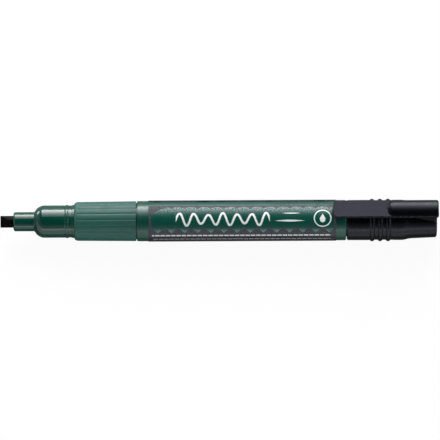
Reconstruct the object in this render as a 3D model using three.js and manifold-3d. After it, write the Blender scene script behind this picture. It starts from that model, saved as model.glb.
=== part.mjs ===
// A valve-action wet erase marker with its cap posted on the tail. Lengths are in millimetres.
// The marker lies along X with the nib at the low end, and the clip stands over the axis on +Z.
// The finished group stands on z = 0, with the origin under the middle of its length.
import * as THREE from "three";
import { ConvexGeometry } from "three/addons/geometries/ConvexGeometry.js";
import { mergeVertices } from "three/addons/utils/BufferGeometryUtils.js";
import Module from "manifold-3d";

const wasm = await Module();
wasm.setup();

// How round the turned pieces are
const shellFacets = 48;
const innerFacets = 24;
const arcSteps = 4;
const facetsPerRib = 2;
const ballDetail = 2;
const cutMargin = 1; // how far a cutting shape reaches past what it cuts

// Clearances
const slideClearance = 0.1; // radial, where the nib slides
const pressClearance = 0.05; // radial, where one piece is pressed into another
const seatGap = 0.1; // axial, where one piece seats on another
const hingeGap = 0.3; // along the axis, at the line where the clip flexes

// Nib
const nibRadius = 2.0;
const nibLength = 26.0;
const nibReach = 4.5; // how far it stands out of the nozzle
const chiselLength = 2.5;
const chiselEdge = 1.4; // thickness left at the writing edge
const chiselTurn = 26.5; // degrees round the axis, from the clip towards -Y
const nibTravel = 1.5; // how far it can be pressed in

// Nozzle
const noseRadius = 3.27;
const noseLength = 6.9;
const noseChamfer = 0.4;
const shoulderLength = 3.2;
const shoulderFillet = 0.35;
const creaseOffset = 1.15; // from the nose to where the steep part turns into the dome
const creaseDrop = 0.9; // from the seat down to the crease
const domeEdge = 0.85;
const seatLength = 9.9;
const beadRise = 0.14;
const beadWidth = 1.5;
const beadSetback = 1.8; // from the collar to the bead's middle
const neckDepth = 0.05; // between the bead and the collar
const collarStep = 0.2; // from the spigot up to the collar
const collarLength = 0.65;
const spigotWall = 1.5;
const plugLength = 7.6; // the part of the spigot that goes into the barrel

// Grip sleeve
const gripLength = 21.0;
const gripStep = 0.07; // from the barrel down to the rear of the grip
const gripTaper = 0.18; // from its rear down to its front
const gripWall = 1.1;
const gripCorner = 0.9;
const gripFrontLand = 0.45; // the flat ring at its front
const grooveCount = 20;
const grooveWidth = 0.75;
const grooveDepth = 0.26;
const grooveTurn = 4.1; // degrees from the clip towards -Y, to the nearest groove

// Barrel and its tail post
const seamGap = 0.3; // the dark line between the grip and the barrel
const barrelRadius = 6.85;
const barrelLength = 71.0;
const barrelWall = 1.35;
const barrelCorner = 0.5;
const seamLipDrop = 0.6; // from the barrel down to the lip that nearly fills the seam
const tailWall = 1.2;
const tailChamfer = 0.6;
const tailRoom = 2.7; // between the tail post and the inner cap

// Label film
const labelThickness = 0.14;
const labelSetback = 3.83; // from the front of the barrel
const labelRearSetback = 3.45; // from its shoulder
const labelSeamAngle = 24; // degrees left bare between the film's two ends
const labelSeamTurn = -32.4; // where that is, in degrees from the clip towards -Y

// Valve, mixing ball and seals
const spongeThickness = 1.1;
const cupDepth = 2.0;
const cupWall = 0.8;
const stemRodRadius = 0.9;
const stopGap = 0.3; // between the pressed stem and the valve seat
const inkGap = 0.6; // round the rod in the valve seat
const seatRingLength = 2.5;
const seatConeDepth = 0.8;
const seatConeRise = 1.1;
const valveGap = 0.08;
const poppetRoom = 0.8; // between the poppet and the cage
const poppetLength = 1.1;
const pilotRadius = 1.2;
const pilotLength = 3.0;
const springLength = 9.6;
const springTurns = 7;
const springSteps = 8; // in each turn
const springSides = 5;
const springRadius = 1.75;
const wireRadius = 0.2;
const cageWall = 0.8;
const cageFloor = 1.2;
const cageWindowCount = 4;
const cageWindowLength = 5.6;
const cageWindowWidth = 2.2;
const sealWireRadius = 0.36;
const sealSides = 6;
const sealSetback = 4.2; // from the rear end of the spigot
const sealGrooveDepth = 0.76;
const ballRadius = 2.5;
const ballRestGap = 0.1;

// Cap
const capGap = 0.3; // between the barrel's shoulder and the mouth of the cap
const capLength = 30.45;
const capMouthInset = 0.02; // from the barrel down to the mouth of the cap
const capDraft = 0.03;
const capWall = 1.16;
const capMouthCorner = 0.45;
const capClearance = 0.2; // radial, round the tail post
const ringRise = 0.41;
const ringWidth = 1.5;
const ringPitch = 2.72;
const ringCount = 3;
const ringOffset = 8.52; // from the mouth to the first ring
const valleyDepth = 0.08;
const capStepOffset = 18.85; // from the mouth to the start of the waist
const capStepLength = 2.6;
const capWaistDrop = 0.54;
const capEndDraft = 0.35;
const capEndCorner = 0.45;
const capEndWall = 1.65;
const noseGrip = 3.7; // how much of the nose the inner cap takes when the cap is on the front
const innerCapWall = 1.55;
const innerCapFloor = 1.1;

// Clip
const clipWidth = 6.35;
const clipThickness = 1.2;
const clipRingClearance = 0.3; // between the rings and the underside
const clipOverhang = 5.05; // how far the tip reaches past the mouth of the cap
const clipOverrun = 0.5; // how far the root reaches past the end of the cap
const clipTipLength = 1.3;
const clipCorner = 0.7;
const clipEdge = 0.22; // the bevel along its edges
const clipPadLength = 2.2;
const clipPadSetback = 1.2;
const clipPadWidth = 4.0;
const clipPadGap = 0.3; // between the pad and the label
const bulgeLength = 17.4;
const bulgeWidth = 5.7;
const bulgeHeight = 1.2;
const bulgeCrown = 4.63; // the radius of its rounded top, across the clip
const bulgeNose = 2.6;
const bulgeRearRound = 0.7;
const rootLength = 7.6; // the part of the clip that stands on the cap
const webTopWidth = 3.2;
const webFrontWidth = 5.4; // at its foot
const webRearWidth = 7.4;
const webSetback = 0.25; // from the end of the cap
const webSink = 1.5; // how far its foot goes into the wall of the cap

// Places along the axis, from the writing edge
const noseFront = nibReach;
const shoulderStart = noseFront + noseLength;
const shoulderEnd = shoulderStart + shoulderLength;
const collarFront = shoulderEnd + seatLength;
const gripFront = collarFront + collarLength;
const gripRear = gripFront + gripLength;
const barrelFront = gripRear + seamGap;
const spigotRear = barrelFront + plugLength;
const barrelShoulder = barrelFront + barrelLength;
const innerCapOffset = collarFront - noseFront - noseGrip; // from the mouth of the cap
const tailEnd = barrelShoulder + capGap + innerCapOffset - tailRoom;
const capMouth = barrelShoulder + capGap;
const capEnd = capMouth + capLength;
const clipTip = capMouth - clipOverhang;
const clipEnd = capEnd + clipOverrun;
const clipHinge = clipEnd - rootLength;

// Radii that follow from what fits inside
const barrelBore = barrelRadius - barrelWall;
const plugRadius = barrelBore - pressClearance;
const gripRearRadius = barrelRadius - gripStep;
const gripFrontRadius = gripRearRadius - gripTaper;
const gripBore = gripFrontRadius - gripWall;
const spigotRadius = gripBore - pressClearance;
const collarRadius = spigotRadius + collarStep;
const capMouthRadius = barrelRadius - capMouthInset;
const capBodyRadius = capMouthRadius + capDraft;
const capWaistRadius = capBodyRadius - capWaistDrop;
const capEndRadius = capWaistRadius - capEndDraft;
const ringRadius = capBodyRadius + ringRise;
const capBore = capBodyRadius - capWall;
const seatRadius = capBore - capClearance; // of the nozzle's seat for the cap, and of the tail post
const creaseRadius = seatRadius - creaseDrop;
const nibBore = nibRadius + slideClearance;
const spongeRadius = nibBore + spongeThickness;
const chamberRadius = spongeRadius + pressClearance;
const cupRadius = nibRadius + pressClearance + cupWall;
const seatRingBore = stemRodRadius + inkGap;
const valveBore = Math.min(spigotRadius, plugRadius) - spigotWall;
const seatRingRadius = valveBore - pressClearance;
const cageBore = seatRingRadius - cageWall;
const poppetRadius = cageBore - poppetRoom;
const tailBore = seatRadius - tailWall;
const labelRadius = barrelRadius + labelThickness;
const innerCapBore = noseRadius + slideClearance;
const innerCapRadius = innerCapBore + innerCapWall;
const innerCapSocket = innerCapRadius + pressClearance;
const clipInner = ringRadius + clipRingClearance;
const clipOuter = clipInner + clipThickness;

// Places of the valve train
const cupFront = nibLength - cupDepth;
const cupFloor = nibLength + seatGap;
const cupRear = cupFloor + cupWall;
const seatRingFront = cupRear + nibTravel + stopGap;
const seatRingRear = seatRingFront + seatRingLength;
const coneSlope = seatConeRise / seatConeDepth;
const poppetConeFront = seatRingRear - seatConeDepth + valveGap - (seatRingBore - stemRodRadius) / coneSlope;
const poppetConeRear = poppetConeFront + (poppetRadius - stemRodRadius) / coneSlope;
const poppetRear = poppetConeRear + poppetLength;
const springFront = poppetRear + seatGap;
const springRear = springFront + springLength;
const cageFront = seatRingRear + seatGap;
const cageFloorFront = springRear + seatGap;
const cageRear = cageFloorFront + cageFloor;
const chamberFront = shoulderEnd - noseChamfer;
const spongeFront = chamberFront + seatGap;
const spongeRear = cupFront - seatGap - pressClearance;
const reservoirFront = Math.max(spigotRear, cageRear);

// A turned piece: the path gives (place along the axis, radius), and its outside runs from front to rear.
function turned(path, facets) {
  const points = path.getPoints(arcSteps).map((p) => new THREE.Vector2(Math.max(p.y, 0), p.x));
  const geometry = new THREE.LatheGeometry(points, facets, Math.PI / facets);
  return geometry.rotateZ(-Math.PI / 2);
}

function pathFrom(x, r) {
  return new THREE.Path().moveTo(x, r);
}

// A tube between two places along the axis, square at both ends.
function ring(front, rear, bore, radius, facets) {
  const path = pathFrom(front, bore).lineTo(front, radius).lineTo(rear, radius);
  return turned(path.lineTo(rear, bore).lineTo(front, bore), facets);
}

// A solid round bar between two places along the axis.
function bar(front, rear, radius, facets) {
  return turned(pathFrom(front, 0).lineTo(front, radius).lineTo(rear, radius).lineTo(rear, 0), facets);
}

function block(xRange, yRange, zRange) {
  const size = [xRange, yRange, zRange].map(([low, high]) => high - low);
  const middle = [xRange, yRange, zRange].map(([low, high]) => (low + high) / 2);
  return new THREE.BoxGeometry(...size).translate(...middle);
}

function solid(geometry) {
  const bare = geometry.clone();
  bare.deleteAttribute("normal");
  bare.deleteAttribute("uv");
  const merged = mergeVertices(bare, 1e-4);
  return new wasm.Manifold(
    new wasm.Mesh({
      numProp: 3,
      vertProperties: new Float32Array(merged.attributes.position.array),
      triVerts: new Uint32Array(merged.index.array),
    }),
  );
}

function geometryOf(made) {
  const mesh = made.getMesh();
  const geometry = new THREE.BufferGeometry();
  geometry.setAttribute("position", new THREE.BufferAttribute(mesh.vertProperties, 3));
  geometry.setIndex(new THREE.BufferAttribute(mesh.triVerts, 1));
  geometry.computeVertexNormals();
  return geometry;
}

// A shallow rounded bead on a surface of one radius, added to a path that has reached its front edge.
function bead(path, middle, width, radius, rise) {
  path.lineTo(middle - width / 2, radius);
  path.quadraticCurveTo(middle, radius + 2 * rise, middle + width / 2, radius);
  return path;
}

// A fibre rod cut to a wedge, so that it writes a thin or a broad line.
function chiselNib() {
  const side = new THREE.Shape();
  const clear = nibRadius + slideClearance;
  side.moveTo(0, chiselEdge / 2).lineTo(chiselLength, clear).lineTo(nibLength + clear, clear);
  side.lineTo(nibLength + clear, -clear).lineTo(chiselLength, -clear).lineTo(0, -chiselEdge / 2);
  const wedge = new THREE.ExtrudeGeometry(side, { depth: 2 * clear, bevelEnabled: false });
  wedge.translate(0, 0, -clear).rotateX(Math.PI / 2);
  const rod = solid(bar(0, nibLength, nibRadius, innerFacets));
  return geometryOf(rod.intersect(solid(wedge))).rotateX(THREE.MathUtils.degToRad(chiselTurn));
}

function nozzle() {
  const crease = shoulderStart + creaseOffset;
  const outside = pathFrom(noseFront, nibBore).lineTo(noseFront, noseRadius - noseChamfer);
  outside.lineTo(noseFront + noseChamfer, noseRadius).lineTo(shoulderStart, noseRadius);
  outside.quadraticCurveTo(shoulderStart + shoulderFillet, noseRadius, crease, creaseRadius);
  outside.quadraticCurveTo(shoulderEnd - domeEdge, seatRadius, shoulderEnd, seatRadius);
  bead(outside, collarFront - beadSetback, beadWidth, seatRadius, beadRise);
  outside.lineTo(collarFront, seatRadius - neckDepth).lineTo(collarFront, collarRadius);
  outside.lineTo(gripFront, collarRadius).lineTo(gripFront, spigotRadius);
  const groove = spigotRear - sealSetback;
  const grooveRadius = plugRadius - sealGrooveDepth;
  const grooveHalf = sealWireRadius + seatGap;
  outside.lineTo(barrelFront, spigotRadius).lineTo(barrelFront, plugRadius);
  outside.lineTo(groove - grooveHalf, plugRadius).lineTo(groove - grooveHalf, grooveRadius);
  outside.lineTo(groove + grooveHalf, grooveRadius).lineTo(groove + grooveHalf, plugRadius);
  outside.lineTo(spigotRear, plugRadius).lineTo(spigotRear, valveBore);
  outside.lineTo(seatRingFront, valveBore).lineTo(seatRingFront, chamberRadius);
  outside.lineTo(chamberFront, chamberRadius).lineTo(chamberFront, nibBore).lineTo(noseFront, nibBore);
  return turned(outside, shellFacets);
}

// The ribbed sleeve that the fingers hold, with V grooves that follow its taper.
function gripSleeve() {
  const corner = gripFront + gripCorner;
  const path = pathFrom(gripFront, gripBore).lineTo(gripFront, gripBore + gripFrontLand);
  path.quadraticCurveTo(gripFront, gripFrontRadius, corner, gripFrontRadius);
  path.lineTo(gripRear, gripRearRadius).lineTo(gripRear, gripBore).lineTo(gripFront, gripBore);
  let sleeve = solid(turned(path, facetsPerRib * grooveCount));
  const ends = [
    [gripFront - cutMargin, gripFrontRadius],
    [gripRear + cutMargin, gripRearRadius],
  ];
  const corners = ends.flatMap(([x, radius]) => [
    new THREE.Vector3(x, 0, radius - grooveDepth),
    new THREE.Vector3(x, -grooveWidth, radius + grooveDepth),
    new THREE.Vector3(x, grooveWidth, radius + grooveDepth),
  ]);
  for (let i = 0; i < grooveCount; i++) {
    const groove = new ConvexGeometry(corners).rotateX((2 * Math.PI * i) / grooveCount);
    sleeve = sleeve.subtract(solid(groove));
  }
  return geometryOf(sleeve).rotateX(THREE.MathUtils.degToRad(grooveTurn));
}

// The ink tank, closed at the rear, with a post on its tail that holds the cap.
function barrel() {
  const path = pathFrom(tailEnd - tailWall, 0).lineTo(tailEnd - tailWall, tailBore);
  path.lineTo(barrelShoulder, tailBore).lineTo(barrelShoulder - (barrelBore - tailBore), barrelBore);
  const lipFront = gripRear + seatGap;
  path.lineTo(lipFront, barrelBore).lineTo(lipFront, barrelRadius - seamLipDrop);
  path.lineTo(barrelFront, barrelRadius - seamLipDrop).lineTo(barrelFront, barrelRadius - barrelCorner / 2);
  path.quadraticCurveTo(barrelFront, barrelRadius, barrelFront + barrelCorner, barrelRadius);
  path.lineTo(barrelShoulder - barrelCorner, barrelRadius);
  path.quadraticCurveTo(barrelShoulder, barrelRadius, barrelShoulder, barrelRadius - barrelCorner);
  path.lineTo(barrelShoulder, seatRadius);
  bead(path, capMouth + beadSetback, beadWidth, seatRadius, beadRise);
  path.lineTo(tailEnd - tailChamfer, seatRadius).lineTo(tailEnd, seatRadius - tailChamfer);
  return turned(path.lineTo(tailEnd, 0), shellFacets);
}

// A printed film round the barrel, with a bare strip between its two ends.
function barrelLabel() {
  const front = barrelFront + labelSetback;
  const rear = barrelShoulder - labelRearSetback;
  const film = solid(ring(front, rear, barrelRadius, labelRadius, shellFacets));
  const reach = 2 * labelRadius;
  const spread = reach * Math.tan(THREE.MathUtils.degToRad(labelSeamAngle / 2));
  const wedge = [front - cutMargin, rear + cutMargin].flatMap((x) => [
    new THREE.Vector3(x, 0, 0),
    new THREE.Vector3(x, -spread, reach),
    new THREE.Vector3(x, spread, reach),
  ]);
  const turn = THREE.MathUtils.degToRad(labelSeamTurn);
  return geometryOf(film.subtract(solid(new ConvexGeometry(wedge).rotateX(turn))));
}

// The stem that the nib pushes: a cup round the nib, a rod through the seat, and the poppet that closes it.
function valveStem() {
  const path = pathFrom(cupFloor, 0).lineTo(cupFloor, nibRadius + pressClearance);
  path.lineTo(cupFront, nibRadius + pressClearance).lineTo(cupFront, cupRadius);
  path.lineTo(cupRear, cupRadius).lineTo(cupRear, stemRodRadius);
  path.lineTo(poppetConeFront, stemRodRadius).lineTo(poppetConeRear, poppetRadius);
  path.lineTo(poppetRear, poppetRadius).lineTo(poppetRear, pilotRadius);
  path.lineTo(poppetRear + pilotLength, pilotRadius).lineTo(poppetRear + pilotLength, 0);
  return turned(path, innerFacets);
}

function valveSeat() {
  const front = seatRingFront + pressClearance;
  const path = pathFrom(front, seatRingBore).lineTo(front, seatRingRadius);
  path.lineTo(seatRingRear, seatRingRadius).lineTo(seatRingRear, seatRingBore + seatConeRise);
  path.lineTo(seatRingRear - seatConeDepth, seatRingBore).lineTo(front, seatRingBore);
  return turned(path, innerFacets);
}

// Holds the rear end of the spring, with windows that let the ink through.
function valveCage() {
  const path = pathFrom(cageFloorFront, pilotRadius).lineTo(cageFloorFront, cageBore);
  path.lineTo(cageFront, cageBore).lineTo(cageFront, seatRingRadius).lineTo(cageRear, seatRingRadius);
  path.lineTo(cageRear, pilotRadius).lineTo(cageFloorFront, pilotRadius);
  let cage = solid(turned(path, innerFacets));
  const windowRear = cageFloorFront - cageFloor;
  const across = [-cageWindowWidth / 2, cageWindowWidth / 2];
  const outward = [cageBore - cageWall, seatRingRadius + cageWall];
  for (let i = 0; i < cageWindowCount; i++) {
    const opening = block([windowRear - cageWindowLength, windowRear], across, outward);
    cage = cage.subtract(solid(opening.rotateX((2 * Math.PI * i) / cageWindowCount)));
  }
  return geometryOf(cage);
}

// A round wire that follows a helix, closed flat at both ends. Prints the least gap between its turns.
function valveSpring() {
  const steps = springTurns * springSteps;
  const start = springFront + wireRadius;
  const rise = (springLength - 2 * wireRadius) / steps;
  const centre = (i) => {
    const angle = (2 * Math.PI * i) / springSteps;
    const [across, up] = [springRadius * Math.sin(angle), springRadius * Math.cos(angle)];
    return new THREE.Vector3(start + rise * i, across, up);
  };
  const positions = [];
  for (let i = 0; i <= steps; i++) {
    const middle = centre(i);
    const outward = new THREE.Vector3(0, middle.y, middle.z).normalize();
    for (let k = 0; k < springSides; k++) {
      const around = (2 * Math.PI * k) / springSides;
      const point = middle.clone().addScaledVector(outward, wireRadius * Math.cos(around));
      positions.push(point.x + wireRadius * Math.sin(around), point.y, point.z);
    }
  }
  const faces = [];
  for (let i = 0; i < steps; i++) {
    for (let k = 0; k < springSides; k++) {
      const [a, b] = [i * springSides + k, i * springSides + ((k + 1) % springSides)];
      faces.push(a, b, a + springSides, b, b + springSides, a + springSides);
    }
  }
  const last = steps * springSides;
  for (let k = 1; k < springSides - 1; k++) {
    faces.push(0, k + 1, k, last, last + k, last + k + 1);
  }
  let least = Infinity;
  for (let i = 0; i <= steps; i++) {
    for (let j = i + springSteps / 2; j <= steps; j++) {
      least = Math.min(least, centre(i).distanceTo(centre(j)) - 2 * wireRadius);
    }
  }
  console.log(`valve spring: least gap between turns ${least.toFixed(2)} mm`);
  const geometry = new THREE.BufferGeometry();
  geometry.setAttribute("position", new THREE.Float32BufferAttribute(positions, 3));
  geometry.setIndex(faces);
  return geometry;
}

// The soft ring in the groove of the spigot, which keeps the ink in the barrel.
function sealRing() {
  const middle = spigotRear - sealSetback;
  const ringMiddle = barrelBore - pressClearance / 2 - sealWireRadius;
  const path = new THREE.Path().absarc(middle, ringMiddle, sealWireRadius, 0, 2 * Math.PI, true);
  const points = path.getPoints(sealSides / 2).map((p) => new THREE.Vector2(p.y, p.x));
  points[points.length - 1].copy(points[0]);
  return new THREE.LatheGeometry(points, shellFacets, Math.PI / shellFacets).rotateZ(-Math.PI / 2);
}

// Rattles in the ink to stir it. At rest it lies on the bottom of the barrel, next to the valve.
function mixingBall() {
  const floor = barrelBore * Math.cos(Math.PI / shellFacets);
  const ball = new THREE.IcosahedronGeometry(ballRadius, ballDetail);
  return ball.translate(reservoirFront + ballRestGap + ballRadius, 0, ballRadius + ballRestGap - floor);
}

// The clip's plan, seen from above: a rounded tip, straight sides and small corners at the root.
function clipPlan() {
  const half = clipWidth / 2;
  const plan = new THREE.Shape();
  plan.moveTo(clipTip + clipTipLength, -half).lineTo(clipEnd - clipCorner, -half);
  plan.quadraticCurveTo(clipEnd, -half, clipEnd, clipCorner - half).lineTo(clipEnd, half - clipCorner);
  plan.quadraticCurveTo(clipEnd, half, clipEnd - clipCorner, half).lineTo(clipTip + clipTipLength, half);
  plan.absellipse(clipTip + clipTipLength, 0, clipTipLength, half, Math.PI / 2, (3 * Math.PI) / 2);
  return plan;
}

// The whole clip: a flat plate, a pad under its tip and a rounded bulge on its rear half.
function wholeClip() {
  const plate = new THREE.ExtrudeGeometry(clipPlan(), {
    depth: clipThickness - 2 * clipEdge,
    bevelThickness: clipEdge,
    bevelSize: clipEdge,
    bevelOffset: -clipEdge,
    bevelSegments: 1,
    curveSegments: 2 * arcSteps,
  });
  plate.translate(0, 0, clipInner + clipEdge);
  const padRear = clipTip + clipPadSetback + clipPadLength;
  const padSide = clipPadWidth / 2;
  const pad = block(
    [padRear - clipPadLength, padRear],
    [-padSide, padSide],
    [labelRadius + clipPadGap, clipInner + clipThickness / 2],
  );
  const bulgeFront = clipEnd - bulgeLength;
  const path = pathFrom(bulgeFront, 0).lineTo(bulgeFront, bulgeCrown - bulgeHeight);
  path.quadraticCurveTo(bulgeFront, bulgeCrown, bulgeFront + bulgeNose, bulgeCrown);
  path.lineTo(clipEnd - bulgeRearRound, bulgeCrown);
  path.quadraticCurveTo(clipEnd, bulgeCrown, clipEnd, bulgeCrown - bulgeRearRound);
  const crown = turned(path.lineTo(clipEnd, 0), shellFacets);
  crown.translate(0, 0, clipOuter + bulgeHeight - bulgeCrown);
  const above = block(
    [bulgeFront - cutMargin, clipEnd + cutMargin],
    [-bulgeWidth / 2, bulgeWidth / 2],
    [clipOuter - clipThickness / 2, clipOuter + 2 * bulgeHeight],
  );
  return solid(plate).add(solid(pad)).add(solid(crown).intersect(solid(above)));
}

// One half-space of the clip, in front of the flex line or behind it.
function clipPiece(front, rear) {
  const width = [-clipWidth, clipWidth];
  return wholeClip().intersect(solid(block([front, rear], width, [0, clipOuter + 2 * bulgeHeight])));
}

function clipArm() {
  return geometryOf(clipPiece(clipTip - cutMargin, clipHinge - hingeGap));
}

// The web that carries the clip, wider at its foot and towards the end of the cap.
function clipWeb() {
  const footHeight = capEndRadius - webSink;
  const topHeight = clipInner + clipThickness / 2;
  const rear = capEnd - webSetback;
  const top = webTopWidth / 2;
  const corners = [1, -1].flatMap((side) => [
    new THREE.Vector3(clipHinge, (side * webFrontWidth) / 2, footHeight),
    new THREE.Vector3(clipHinge, side * top, topHeight),
    new THREE.Vector3(rear, (side * webRearWidth) / 2, footHeight),
    new THREE.Vector3(rear, side * top, topHeight),
  ]);
  return solid(new ConvexGeometry(corners));
}

function capShell() {
  const path = pathFrom(capMouth, 0).lineTo(capMouth, capMouthRadius - capMouthCorner / 2);
  path.quadraticCurveTo(capMouth, capMouthRadius, capMouth + capMouthCorner, capMouthRadius);
  path.lineTo(capMouth + ringOffset - ringPitch, capBodyRadius);
  const valley = capBodyRadius - valleyDepth;
  for (let i = 0; i < ringCount; i++) {
    bead(path, capMouth + ringOffset + i * ringPitch, ringWidth, valley, ringRadius - valley);
  }
  const stepStart = capMouth + capStepOffset;
  const stepEnd = stepStart + capStepLength;
  path.lineTo(stepStart, capBodyRadius);
  path.bezierCurveTo(
    stepStart + capStepLength / 2,
    capBodyRadius,
    stepEnd - capStepLength / 2,
    capWaistRadius,
    stepEnd,
    capWaistRadius,
  );
  path.lineTo(capEnd - capEndCorner, capEndRadius);
  path.quadraticCurveTo(capEnd, capEndRadius, capEnd, capEndRadius - capEndCorner);
  const outside = solid(turned(path.lineTo(capEnd, 0), shellFacets));

  const socketFront = capMouth + innerCapOffset - seatGap;
  const socketRear = capEnd - capEndWall;
  const hollow = pathFrom(capMouth - cutMargin, 0).lineTo(capMouth - cutMargin, capBore);
  bead(hollow, capMouth + beadSetback, beadWidth, capBore, beadRise);
  hollow.lineTo(socketFront - (capBore - innerCapSocket), capBore).lineTo(socketFront, innerCapSocket);
  hollow.lineTo(socketRear, innerCapSocket).lineTo(socketRear, 0);
  const root = clipPiece(clipHinge, clipEnd + cutMargin);
  return geometryOf(
    outside.add(clipWeb()).add(root).subtract(solid(turned(hollow, shellFacets))),
  );
}

// The soft cup that closes on the nozzle's nose when the cap is on the front.
function innerCap() {
  const mouth = capMouth + innerCapOffset;
  const rear = capEnd - capEndWall - seatGap;
  const floor = rear - innerCapFloor;
  const path = pathFrom(floor, 0).lineTo(floor, innerCapBore).lineTo(mouth + noseChamfer, innerCapBore);
  path.lineTo(mouth, innerCapBore + noseChamfer).lineTo(mouth, innerCapRadius);
  return turned(path.lineTo(rear, innerCapRadius).lineTo(rear, 0), shellFacets);
}

function finish(name, color, roughness, metalness = 0) {
  return new THREE.MeshStandardMaterial({ name, color, roughness, metalness });
}

const glossGreen = finish("gloss_green", 0x0c4a3a, 0.22);
const matteGreen = finish("matte_green", 0x2b5a4e, 0.55);
const filmDark = finish("film_dark", 0x3a3b46, 0.3);
const capBlack = finish("cap_black", 0x24242b, 0.42);
const fibreBlack = finish("fibre_black", 0x070707, 0.95);
const naturalPlastic = finish("natural_plastic", 0xd9d8cf, 0.5);
const softSeal = finish("soft_seal", 0x54565a, 0.8);
const sponge = finish("sponge", 0x8d8d88, 1);
const steel = finish("steel", 0xb4b7ba, 0.3, 1);

const pieces = [
  ["chisel_nib", chiselNib(), fibreBlack],
  ["nozzle", nozzle(), glossGreen],
  ["nib_sponge", ring(spongeFront, spongeRear, nibBore, spongeRadius, innerFacets), sponge],
  ["valve_stem", valveStem(), naturalPlastic],
  ["valve_seat", valveSeat(), softSeal],
  ["valve_spring", valveSpring(), steel],
  ["valve_cage", valveCage(), naturalPlastic],
  ["seal_ring", sealRing(), softSeal],
  ["grip_sleeve", gripSleeve(), matteGreen],
  ["barrel", barrel(), glossGreen],
  ["barrel_label", barrelLabel(), filmDark],
  ["mixing_ball", mixingBall(), steel],
  ["cap_shell", capShell(), capBlack],
  ["inner_cap", innerCap(), naturalPlastic],
  ["clip_arm", clipArm(), capBlack],
];

const marker = new THREE.Group();
for (const [name, geometry, material] of pieces) {
  const mesh = new THREE.Mesh(geometry, material);
  mesh.name = name;
  marker.add(mesh);
}
marker.position.set(-clipEnd / 2, 0, ringRadius * Math.cos(Math.PI / shellFacets));

export default marker;
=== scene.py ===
# A wet erase marker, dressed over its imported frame.
# Blender works in metres, and so do the camera, floor and lamps at the end. The sizes in the pieces'
# dictionaries are millimetres, and places along the marker are measured from its writing edge. The corners of
# a turned outline are (place, radius, rounding).
import math

import bmesh
import bpy
from mathutils import Matrix, Vector, noise


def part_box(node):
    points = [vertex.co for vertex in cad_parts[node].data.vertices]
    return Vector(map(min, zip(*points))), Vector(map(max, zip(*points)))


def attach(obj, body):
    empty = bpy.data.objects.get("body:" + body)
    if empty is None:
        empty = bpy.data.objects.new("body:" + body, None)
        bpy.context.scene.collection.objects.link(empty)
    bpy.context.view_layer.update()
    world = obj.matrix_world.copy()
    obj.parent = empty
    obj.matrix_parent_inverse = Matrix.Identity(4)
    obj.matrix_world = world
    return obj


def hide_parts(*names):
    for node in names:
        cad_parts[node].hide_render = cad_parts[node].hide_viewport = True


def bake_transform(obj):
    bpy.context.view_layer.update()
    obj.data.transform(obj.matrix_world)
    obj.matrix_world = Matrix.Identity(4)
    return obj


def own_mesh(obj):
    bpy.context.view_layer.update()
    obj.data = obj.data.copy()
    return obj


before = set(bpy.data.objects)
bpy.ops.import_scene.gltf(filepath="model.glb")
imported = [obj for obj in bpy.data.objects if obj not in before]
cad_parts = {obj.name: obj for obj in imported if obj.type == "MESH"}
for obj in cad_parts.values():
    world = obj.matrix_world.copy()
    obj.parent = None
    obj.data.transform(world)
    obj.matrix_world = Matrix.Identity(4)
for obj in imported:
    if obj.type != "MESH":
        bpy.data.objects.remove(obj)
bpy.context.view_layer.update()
print("frame loaded:", len(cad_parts), "nodes")

mm = 0.001
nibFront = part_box("chisel_nib")[0].x
axisZ = (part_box("barrel")[0].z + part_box("barrel")[1].z) / 2  # the marker's own axis
printTurn = 26.5  # degrees from the clip towards -Y, the side that the print faces


def along(x):
    return nibFront + x * mm


# Helpers for shapes


def only(geom, kind):
    return [g for g in geom if isinstance(g, kind)]


def edgesOver(bm, degrees):  # the edges where the surface turns by more than this
    return [e for e in bm.edges if e.calc_face_angle(0) > math.radians(degrees)]


def roundOff(bm, picked, radius, segments=3, kind="EDGES"):
    bmesh.ops.bevel(bm, geom=picked, offset=radius, offset_type="OFFSET", segments=segments, profile=0.5,
                    affect=kind, material=-1, clamp_overlap=True)


def cutAway(bm, place, outward):  # takes off what lies past a plane, and gives the edges of the cut
    cut = bmesh.ops.bisect_plane(bm, geom=bm.verts[:] + bm.edges[:] + bm.faces[:], dist=1e-8,
                                 plane_co=place, plane_no=outward, clear_outer=True)
    return only(cut["geom_cut"], bmesh.types.BMEdge)


def roundedWire(bm, corners, closed):  # half an outline, over the marker's axis
    verts = [bm.verts.new((along(x), 0, axisZ + radius * mm)) for x, radius, _ in corners]
    for a, b in zip(verts, verts[1:]):
        bm.edges.new((a, b))
    if closed:
        bm.edges.new((verts[-1], verts[0]))
    for rounding in sorted({c[2] for c in corners} - {0}):
        picked = [v for v, c in zip(verts, corners) if c[2] == rounding]
        roundOff(bm, picked, rounding * mm, segments=5, kind="VERTICES")


def holdCorners(bm, hold=0.12 * mm):  # loops close to each corner keep the long faces flat in the shading
    for edge in bm.edges[:]:
        start, end = edge.verts
        length = edge.calc_length()
        if length > 5 * hold:
            nearStart = bmesh.utils.edge_split(edge, start, hold / length)[1]
            rest = bm.edges.get((nearStart, end))
            bmesh.utils.edge_split(rest, end, hold / rest.calc_length())


def cutLong(bm, longest):  # even loops along the longer stretches
    for edge in bm.edges[:]:
        cuts = int(edge.calc_length() / longest)
        if cuts:
            bmesh.ops.subdivide_edges(bm, edges=[edge], cuts=cuts)


def spinRound(bm, steps, turn=360):
    bmesh.ops.spin(bm, geom=bm.verts[:] + bm.edges[:], cent=(0, 0, axisZ), axis=(1, 0, 0),
                   angle=math.radians(turn), steps=steps, use_merge=turn == 360, use_duplicate=False)
    bmesh.ops.remove_doubles(bm, verts=bm.verts[:], dist=0.0005 * mm)


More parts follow.
